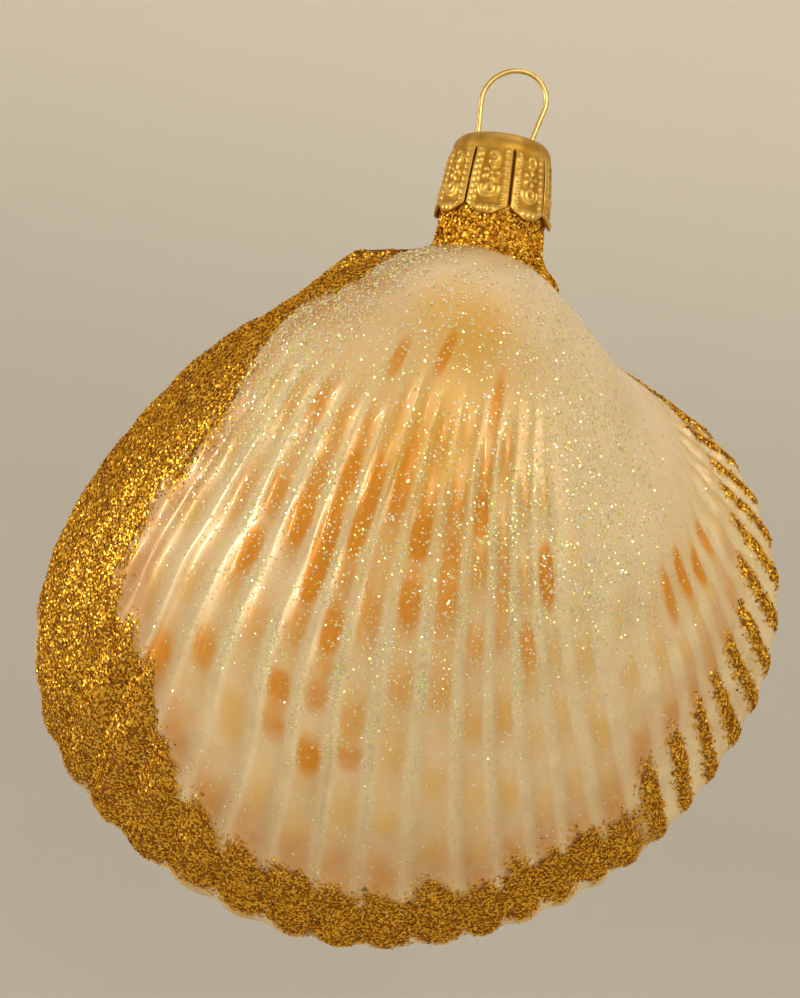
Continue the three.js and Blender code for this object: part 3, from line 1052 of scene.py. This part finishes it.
def cap_profile():
    """Radius and height from the middle of the top, over the shoulder, down to the tips."""
    flat = np.linspace([0.0, 0.0], [TOP_RADIUS - SHOULDER, 0.0], FLAT_ROWS, endpoint=False)
    bend = np.linspace(0, np.pi / 2, SHOULDER_ROWS)
    shoulder = np.stack([
        TOP_RADIUS - SHOULDER + SHOULDER * np.sin(bend), SHOULDER * (np.cos(bend) - 1),
    ], 1)
    z = np.arange(CAP_TOP_Z - SHOULDER - ROW, TIP_Z - ROW / 2, -ROW)
    ledge = cap_radius(CAP_TOP_Z - SHOULDER) - TOP_RADIUS
    skirt = np.stack([cap_radius(z) - ledge * np.exp((z - z[0]) / FAIRING), z], 1)
    above = np.vstack([flat, shoulder]) + [0, CAP_TOP_Z]
    return np.vstack([above, skirt])


# %% [markdown]
# ### The die
#
# The die of one petal has a rope border and, from the top, a small hook, a flower of five
# petals and a bud with half a wreath below it. Each is a ring, bent by a wave where it has
# leaves or petals. A drawn image would do it as well, but rings in millimetres stay sharp at
# any size and need no file.

# %% The die: relief of one petal
ROPE_INSET = 0.64  # mm in from the edge of a petal
ROPE_WIDTH = 0.25
ROPE_TWIST = 0.72  # mm from one strand to the next
ROPE_HEIGHT = 0.22
FIGURE_HEIGHT = 0.18
FLOWER_HEIGHT = 0.20
FIELD_DEPTH = 0.05  # how far the ground between the figures is sunk
FINE = 0.2  # mm, half the width of a fine line of the die
HOOK_Z = -11.1
FLOWER_Z = -12.9
FLOWER_PETALS = 5
BUD_Z = -14.7
WREATH_Z = -14.6
WREATH_TOP_Z = -14.2
WREATH_LEAVES = 12


def relief_of(x, z, half_width):
    """Height of the stamping, in mm, at x across and z down a petal."""
    from_side = half_width - np.abs(x)
    from_tip = (z - TIP_Z) * 0.9
    inset = np.minimum(from_side, from_tip)
    along = np.where(from_side < from_tip, z, x)
    started = rise(-z, -SLOT_TOP_Z + 0.1, -SLOT_TOP_Z + 0.7)
    strands = 0.6 + 0.4 * np.cos(2 * np.pi * along / ROPE_TWIST)
    height = ROPE_HEIGHT * hill(inset, ROPE_INSET, ROPE_WIDTH) * strands * started

    def ring(middle, radius, width=FINE):
        return hill(np.hypot(x, z - middle), radius, width)

    inner = rise(inset, 0.95, 1.15)
    bearing = np.arctan2(z - FLOWER_Z, x)
    hook = ring(HOOK_Z, 0.58) * (x > -0.4) + 0.6 * ring(HOOK_Z, 0)
    flower = ring(FLOWER_Z, 0.65, 0.34) * (0.5 + 0.5 * np.cos(FLOWER_PETALS * bearing))
    flower = flower + 0.8 * ring(FLOWER_Z, 0)
    leaves = 0.8 + 0.2 * np.cos(WREATH_LEAVES * bearing)
    wreath = ring(WREATH_Z, 1.05, 0.22) * (z < WREATH_TOP_Z) * leaves + ring(BUD_Z, 0.48)
    height += inner * (FIGURE_HEIGHT * (hook + wreath) + FLOWER_HEIGHT * flower)
    return height - FIELD_DEPTH * inner * started


# %% [markdown]
# ### The sheet
#
# Eight petals start as one grid each. Their edges meet above the slots and are welded there;
# below, the slots part them, and the corners are drawn in to a blunt tip. The Solidify
# modifier then gives the sheet its thickness, as real sheet has.

# %% Build the cap
SLOT_FADE = 0.5  # mm down a slot until it has its full width
TIP_TAPER = 0.78  # of a petal's width, lost at its tip
CURL = 0.12  # mm, how far the tips stand off
DENTING = 0.05  # mm


def cap_mesh():
    """The cap as a sheet without thickness: eight petals that are welded above their slots."""
    profile = cap_profile()
    petal, step = np.meshgrid(np.arange(PETALS), np.linspace(-1, 1, PETAL_STEPS + 1), indexing="ij")
    petal, step = petal.ravel()[None], step.ravel()[None]
    radius, z = profile[:, :1], profile[:, 1:]
    pitch = np.pi / PETALS * radius
    slot = SLOT_WIDTH / 2 * rise(SLOT_TOP_Z - z, 0, SLOT_FADE)
    taper = 1 - TIP_TAPER * np.clip((SKIRT_Z - z) / (SKIRT_Z - TIP_Z), 0, 1)
    half_width = (pitch - slot) * taper
    x = step * half_width
    angle = 2 * np.pi * petal / PETALS + PETAL_OFFSET + x / np.maximum(radius, 1e-6)
    angle = np.where(radius < 1e-6, 0, angle)
    relief = np.where(z < SLOT_TOP_Z, relief_of(x, z, half_width), 0)
    relief = relief + DENTING * wander(angle * 5, z * 0.9, seed=61) * rise(radius, 2, 5)
    out = radius + relief + CURL * rise(-z, -SKIRT_Z, -TIP_Z)
    points = np.stack([out * np.cos(angle), out * np.sin(angle), z + 0 * angle], -1)
    rows, columns = len(profile), PETAL_STEPS + 1
    one = grid_faces(rows, columns)
    row, column = np.divmod(one, columns)
    faces = np.vstack([row * PETALS * columns + p * columns + column for p in range(PETALS)])
    mesh = new_mesh("cap_sheet", points.reshape(-1, 3), faces)
    store(mesh, relief=relief / FLOWER_HEIGHT)
    return tidied(mesh, weld=2e-6)


def with_thickness(mesh, thickness):
    """The sheet as a solid of real thickness, grown inwards."""
    sheet = bpy.data.objects.new("sheet", mesh)
    bpy.context.scene.collection.objects.link(sheet)
    solid = sheet.modifiers.new("thickness", "SOLIDIFY")
    solid.thickness = thickness * MM
    solid.offset = -1
    evaluated = sheet.evaluated_get(bpy.context.evaluated_depsgraph_get())
    result = bpy.data.meshes.new_from_object(evaluated)
    bpy.data.objects.remove(sheet)
    return result


# %% [markdown]
# The height of the die, kept on the points, paints shade into the hollows of the stamping and a
# highlight on its raised parts, and makes the metal rougher in the hollows.

# %% Finish of the cap
# Painted shade for the hollows of the stamping and painted highlight for its raised parts.
CAP_PAINTED_SHADE_HOLLOW = chip(184, 136, 46)
CAP_PAINTED_HIGHLIGHT_RAISED = chip(246, 204, 106)
CAP_MOTTLE = chip(222, 170, 78)
cap_gold = Finish("satin_gold_sheet", Metallic=1.0)
raised_lit_and_glossier = cap_gold.stored("relief").between(-0.25, 0.55)
mottle = cap_gold.noise(0.8, detail=3.0).between(0.3, 0.7)
# Painted light: darker in the hollows and lighter on the raised stamping, by the height of the die.
cap_colour = cap_gold.mix(raised_lit_and_glossier, CAP_PAINTED_SHADE_HOLLOW, CAP_PAINTED_HIGHLIGHT_RAISED)
cap_colour = cap_gold.mix(mottle * 0.25, cap_colour, CAP_MOTTLE)
cap_finish = cap_gold.drive(
    Base_Color=cap_colour, Roughness=0.46 - raised_lit_and_glossier * 0.12 + mottle * 0.06,
    Normal=cap_gold.bump(strength=0.25, depth=0.03, height=cap_gold.noise(0.35)),
)
cap = show("stamped_cap", with_thickness(cap_mesh(), SHEET), cap_finish, "cap_metal", "cap")
cap.data.shade_smooth()

# %% [markdown]
# ## The wire loop
#
# One length of spring wire, bent round a peg: an oval loop above the cap and two legs that
# spread inside the neck. A round section is swept along the bend, with its ends closed.

# %% Bend the wire
WIRE_RADIUS = 0.3
WIRE_SIDES = 20
END_SIZE = 0.7  # of the wire's radius, where its ends are cut off
LOOP_HALF_WIDTH = 3.7
LOOP_LEAN = 0.1  # how far it leans towards +X for each mm above the cap
LOOP_WIDEST_Z = -3.4
LOOP_PAST_HALF = 15  # degrees that the loop curves in below its widest place, and its steps
LEG_X = 3.1
LEG_SPREAD = 0.15  # mm, by LEG_STRAIGHT below the cap's top
LEG_STRAIGHT = 3
LEG_END = (3.7, -16.6)


def wire_route():
    """Points down the middle of the wire, from one leg's end to the other's."""
    leg = [LEG_END, (LEG_X + LEG_SPREAD, CAP_TOP_Z - LEG_STRAIGHT), (LEG_X, CAP_TOP_Z)]
    bend = np.radians(np.arange(-LOOP_PAST_HALF, 181 + LOOP_PAST_HALF, LOOP_PAST_HALF))
    loop = np.stack([
        LOOP_HALF_WIDTH * np.cos(bend),
        LOOP_WIDEST_Z + (WIRE_RADIUS - LOOP_WIDEST_Z) * np.sin(bend),
    ], 1)
    far_leg = [[-x, z] for x, z in reversed(leg)]
    flat = through(np.vstack([leg, loop, far_leg]), per_span=8)
    flat[:, 0] += LOOP_LEAN * np.maximum(flat[:, 1] - CAP_TOP_Z, 0)
    return np.stack([flat[:, 0], 0 * flat[:, 0], flat[:, 1]], 1)


def swept(route, radius, sides):
    """A round wire along a route that lies in the seam plane, with closed ends."""
    along = unit(np.gradient(route, axis=0))
    across = np.array([0.0, 1.0, 0.0])
    up = np.cross(along, across)
    angle = np.linspace(0, 2 * np.pi, sides, endpoint=False)
    ends = [0.0, END_SIZE] + [1.0] * (len(route) - 2) + [END_SIZE, 0.0]
    rings = np.vstack([route[:1], route, route[-1:]])
    ups = np.vstack([up[:1], up, up[-1:]])
    reach = radius * np.array(ends)[:, None, None]
    points = rings[:, None] + reach * (
        ups[:, None] * np.cos(angle)[None, :, None] + across * np.sin(angle)[None, :, None]
    )
    faces = grid_faces(len(rings), sides, closed=True)
    mesh = tidied(new_mesh("wire", points.reshape(-1, 3), faces))
    mesh.shade_smooth()
    return mesh


WIRE_DULL = chip(226, 184, 104)
WIRE_BRIGHT = chip(246, 212, 140)
wire_gold = Finish("drawn_gold_wire", Metallic=1.0)
drawn = wire_gold.noise(0.5, detail=3.0)
wire_colour = wire_gold.mix(drawn.between(0.3, 0.7), WIRE_DULL, WIRE_BRIGHT)
wire_finish = wire_gold.drive(Base_Color=wire_colour, Roughness=0.22 + drawn * 0.16)
wire_mesh = swept(wire_route(), WIRE_RADIUS, WIRE_SIDES)
show("hanger_wire", wire_mesh, wire_finish, "hanger_wire", "wire_hanger")

# %% [markdown]
# ## Studio
#
# A pale bowl stands in for floor and backdrop at once, so that no horizon shows from any
# side and the metal has something even to reflect. Its paper has painted light: its colour is
# darker low down and lighter towards the top. A large soft lamp stands in front on the right, a
# narrow strip on the left draws the streaks along the ribs, a small lamp high behind the camera
# lights up single flakes, and a soft one overhead fills the rest.

# %% Bowl
BOWL_FLOOR_Z = -160.0
BOWL_RADIUS = 950.0
BOWL_CURVE = 500.0
BOWL_HEIGHT = 1500.0
BOWL_SIDES = 96
BOWL_CURVE_STEPS = 24
BOWL_EASE = 60.0  # between the flat floor and the start of the curve


def bowl_mesh():
    """A flat floor, a quarter circle and a wall, turned about the Z axis and seen from inside."""
    curve = np.linspace(0, np.pi / 2, BOWL_CURVE_STEPS + 1)
    floor = [[1.0, 0.0], [BOWL_RADIUS - BOWL_CURVE - BOWL_EASE, 0.0]]
    bend = np.stack([
        BOWL_RADIUS - BOWL_CURVE + BOWL_CURVE * np.sin(curve),
        BOWL_CURVE * (1 - np.cos(curve)),
    ], 1)
    wall = [[BOWL_RADIUS, BOWL_HEIGHT]]
    outline = np.vstack([floor, bend, wall]) + [0, BOWL_FLOOR_Z]
    points = spun(outline, np.linspace(0, 2 * np.pi, BOWL_SIDES, endpoint=False))
    faces = grid_faces(len(outline), BOWL_SIDES, closed=True)
    mesh = new_mesh("bowl", points.reshape(-1, 3), faces)
    mesh.flip_normals()
    mesh.shade_smooth()
    return mesh


# Painted light: the paper is darker low down and lighter higher up.
PAPER_PAINTED_SHADE_LOW = chip(216, 211, 202)
PAPER_PAINTED_LIGHT_HIGH = chip(252, 246, 232)
paper = Finish("pale_paper", Roughness=0.9)
height_up = paper.node("ShaderNodeSeparateXYZ", {}, {"Vector": paper.place()}, "Z")
paper_painted_light = paper.mix(height_up.between(-0.10, 0.35), PAPER_PAINTED_SHADE_LOW, PAPER_PAINTED_LIGHT_HIGH)
bowl = bpy.data.objects.new("studio_bowl", bowl_mesh())
bowl.data.materials.append(paper.drive(Base_Color=paper_painted_light))
bpy.context.scene.collection.objects.link(bowl)


# %% [markdown]
# ### Light and camera
#
# Silvered glass shows its lamps, so each lamp has a size chosen for the reflection it leaves:
# wide and even for the pearl, a thin line for the ribs, a point for the flakes. The camera
# stands close, as for a small thing in the hand, and is rolled until the cap leans to the
# right as it hangs. It could look straight at the middle with a Track To constraint, but a
# fixed place and roll say plainly what the view is.

# %% Lamps
WARM = (1.0, 0.96, 0.90)
AIR = (1.0, 0.97, 0.92, 1.0)
AIR_STRENGTH = 0.45


def lamp(name, place, size, watts):
    """A warm rectangular lamp, sizes in metres, that faces the middle of the ornament."""
    data = bpy.data.lights.new(name, "AREA")
    data.shape = "RECTANGLE"
    data.size, data.size_y = size
    data.energy = watts
    data.color = WARM
    lamp_object = bpy.data.objects.new(name, data)
    lamp_object.location = place
    aim = (cad_box[0] + cad_box[1]) / 2 - lamp_object.location
    lamp_object.rotation_euler = aim.to_track_quat("-Z", "Y").to_euler()
    bpy.context.scene.collection.objects.link(lamp_object)


lamp("front", (0.40, -0.72, -0.08), (0.9, 0.9), watts=5.8)
lamp("strip", (-0.60, -0.18, -0.12), (0.025, 0.40), watts=2.2)
lamp("spark", (0.10, -0.70, 0.20), (0.03, 0.03), watts=0.4)
lamp("top", (0.20, 0.1, 1.0), (0.8, 0.8), watts=1.4)

world = bpy.data.worlds.new("studio_air")
world.use_nodes = True
world.node_tree.nodes["Background"].inputs["Color"].default_value = AIR
world.node_tree.nodes["Background"].inputs["Strength"].default_value = AIR_STRENGTH
bpy.context.scene.world = world
bpy.context.scene.view_settings.view_transform = "Standard"
lamps = [piece for piece in bpy.context.scene.objects if piece.type == "LIGHT"]
print(len(lamps), "lamps,", round(sum(piece.data.energy for piece in lamps), 1), "watts in all")

# %% Camera
CAMERA_PLACE = (-0.0058, -0.190, -0.0504)
CAMERA_LENS = 59.6
CAMERA_ROLL = math.radians(8.4)
camera = bpy.data.objects.new("camera", bpy.data.cameras.new("camera"))
camera.data.lens = CAMERA_LENS
camera.data.clip_start = 0.01
right = (math.cos(CAMERA_ROLL), 0, math.sin(CAMERA_ROLL))
up = (-math.sin(CAMERA_ROLL), 0, math.cos(CAMERA_ROLL))
axes = Matrix((right, up, (0, -1, 0))).transposed()
camera.matrix_world = Matrix.Translation(CAMERA_PLACE) @ axes.to_4x4()
bpy.context.scene.collection.objects.link(camera)
bpy.context.scene.camera = camera
print("the camera stands", round(-CAMERA_PLACE[1] / MM), "mm in front of the seam")
